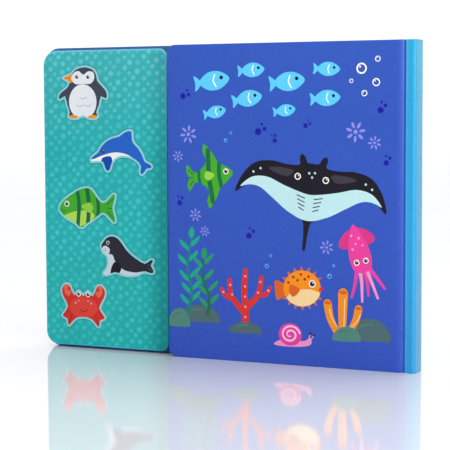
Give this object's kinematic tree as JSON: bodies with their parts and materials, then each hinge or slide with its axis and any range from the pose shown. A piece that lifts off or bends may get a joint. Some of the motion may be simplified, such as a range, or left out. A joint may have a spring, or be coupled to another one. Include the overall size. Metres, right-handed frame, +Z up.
{
  "type": "sound book",
  "caption": "Upright hardback children's sound book with a short hinged front cover and a raised panel of shaped push buttons beside it.",
  "frame": {"origin": "under the middle of the standing book, on the surface it stands on", "axes": "+Z up, +X along the width towards the spine, -Y out of the front cover and the sound panel"},
  "size_m": [0.282, 0.0144, 0.215],
  "materials": {
    "cover_print": "gloss laminated print",
    "back_print": "gloss laminated print",
    "spine_print": "gloss laminated print",
    "pages": "matt board leaves",
    "panel_print": "satin laminated print",
    "button_print": "satin laminated print",
    "housing_plastic": "moulded",
    "dark_plastic": "moulded",
    "steel": "bright",
    "contact_metal": "bright",
    "pcb": "solder mask",
    "rubber": "matt",
    "wire_red": "insulation",
    "wire_black": "insulation"
  },
  "bodies": {
    "case": {"back_cover": "back_print", "spine": "spine_print", "front_hinge_paper": "spine_print", "back_hinge_paper": "spine_print", "page_block": "pages", "sound_panel": "panel_print", "module_housing": "housing_plastic", "contact_dome_1": "steel", "contact_dome_2": "steel", "contact_dome_3": "steel", "contact_dome_4": "steel", "contact_dome_5": "steel", "circuit_board": "pcb", "sound_chip": "dark_plastic", "speaker_basket": "steel", "speaker_magnet": "dark_plastic", "speaker_cone": "pages", "button_cell_1": "steel", "button_cell_2": "steel", "button_cell_3": "steel", "battery_contact_plus": "contact_metal", "battery_contact_bridge": "contact_metal", "door_contact": "contact_metal", "battery_door": "dark_plastic", "door_screw": "steel", "switch_body": "steel", "wire_speaker_plus": "wire_red", "wire_speaker_minus": "wire_black", "wire_battery_plus": "wire_red", "wire_battery_minus": "wire_black", "wire_switch_1": "wire_red", "wire_switch_2": "wire_black"},
    "front_cover": {"front_cover": "cover_print", "front_endpaper": "pages"},
    "penguin_button": {"button_penguin": "button_print", "button_backing_1": "housing_plastic", "button_plunger_1": "rubber"},
    "dolphin_button": {"button_dolphin": "button_print", "button_backing_2": "housing_plastic", "button_plunger_2": "rubber"},
    "fish_button": {"button_fish": "button_print", "button_backing_3": "housing_plastic", "button_plunger_3": "rubber"},
    "seal_button": {"button_seal": "button_print", "button_backing_4": "housing_plastic", "button_plunger_4": "rubber"},
    "crab_button": {"button_crab": "button_print", "button_backing_5": "housing_plastic", "button_plunger_5": "rubber"},
    "switch": {"switch_knob": "dark_plastic"}
  },
  "joints": [
    {"name": "cover_hinge", "type": "hinge", "parent": "case", "child": "front_cover", "pos_m": [0.135, -0.00725, 0.1075], "axis": [0, 0, 1], "range_deg": [0, 170]},
    {"name": "penguin_press", "type": "slide", "parent": "case", "child": "penguin_button", "axis": [0, 1, 0], "range_m": [0, 0.0008], "stiffness_N_per_m": 500},
    {"name": "dolphin_press", "type": "slide", "parent": "case", "child": "dolphin_button", "axis": [0, 1, 0], "range_m": [0, 0.0008], "stiffness_N_per_m": 500},
    {"name": "fish_press", "type": "slide", "parent": "case", "child": "fish_button", "axis": [0, 1, 0], "range_m": [0, 0.0008], "stiffness_N_per_m": 500},
    {"name": "seal_press", "type": "slide", "parent": "case", "child": "seal_button", "axis": [0, 1, 0], "range_m": [0, 0.0008], "stiffness_N_per_m": 500},
    {"name": "crab_press", "type": "slide", "parent": "case", "child": "crab_button", "axis": [0, 1, 0], "range_m": [0, 0.0008], "stiffness_N_per_m": 500},
    {"name": "switch_slide", "type": "slide", "parent": "case", "child": "switch", "axis": [1, 0, 0], "range_m": [0, 0.003]}
  ]
}
